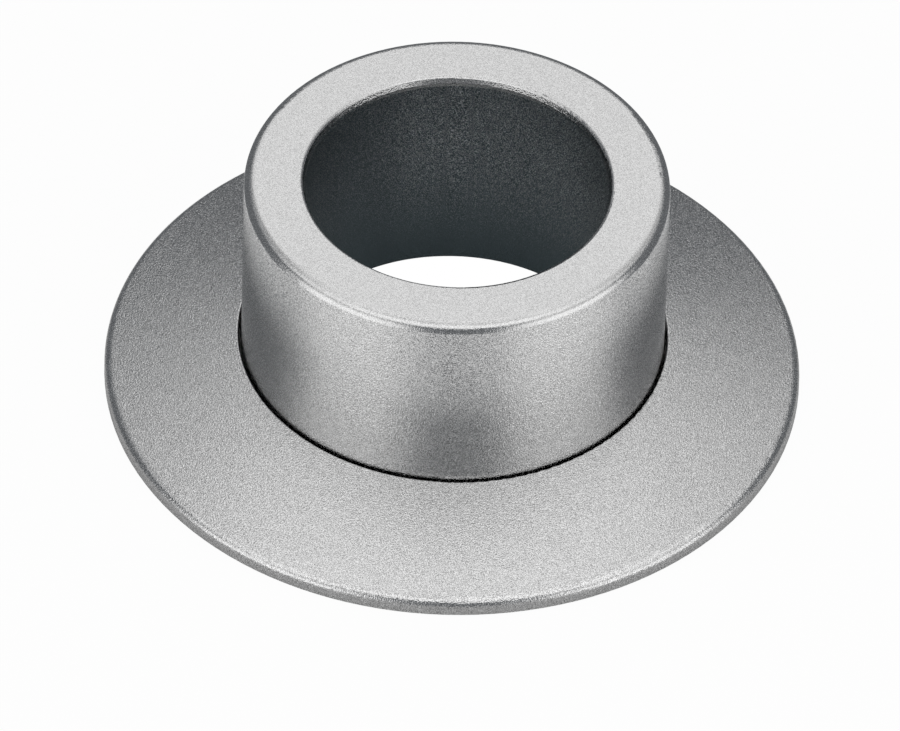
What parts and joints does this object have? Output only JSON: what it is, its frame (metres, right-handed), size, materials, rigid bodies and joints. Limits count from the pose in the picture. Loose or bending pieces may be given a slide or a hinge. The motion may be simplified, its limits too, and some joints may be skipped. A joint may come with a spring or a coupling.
{
  "type": "pipe rosette",
  "caption": "Round wall rosette that covers a pipe outlet: a short lipped sleeve round the pipe, passing through a dished flange that slides along it.",
  "frame": {"origin": "on the pipe's axis, in the plane of the finished wall, which is the plane that the flange's rim and the sleeve's foot both rest on", "axes": "+Z along the pipe, away from the wall; the part is round, so X and Y are free, and -Y is the side that the picture was taken from"},
  "size_m": [0.05, 0.05, 0.0189],
  "materials": {
    "sleeve_satin_silver": "fine bead-blasted satin silver with a visible metallic grain",
    "flange_satin_silver": "fine bead-blasted satin silver with a visible metallic grain"
  },
  "bodies": {
    "sleeve": {"sleeve": "sleeve_satin_silver"},
    "flange": {"flange": "flange_satin_silver"}
  },
  "joints": [
    {"name": "flange_slide", "type": "slide", "parent": "sleeve", "child": "flange", "axis": [0, 0, 1], "range_m": [0, 0.014]}
  ]
}
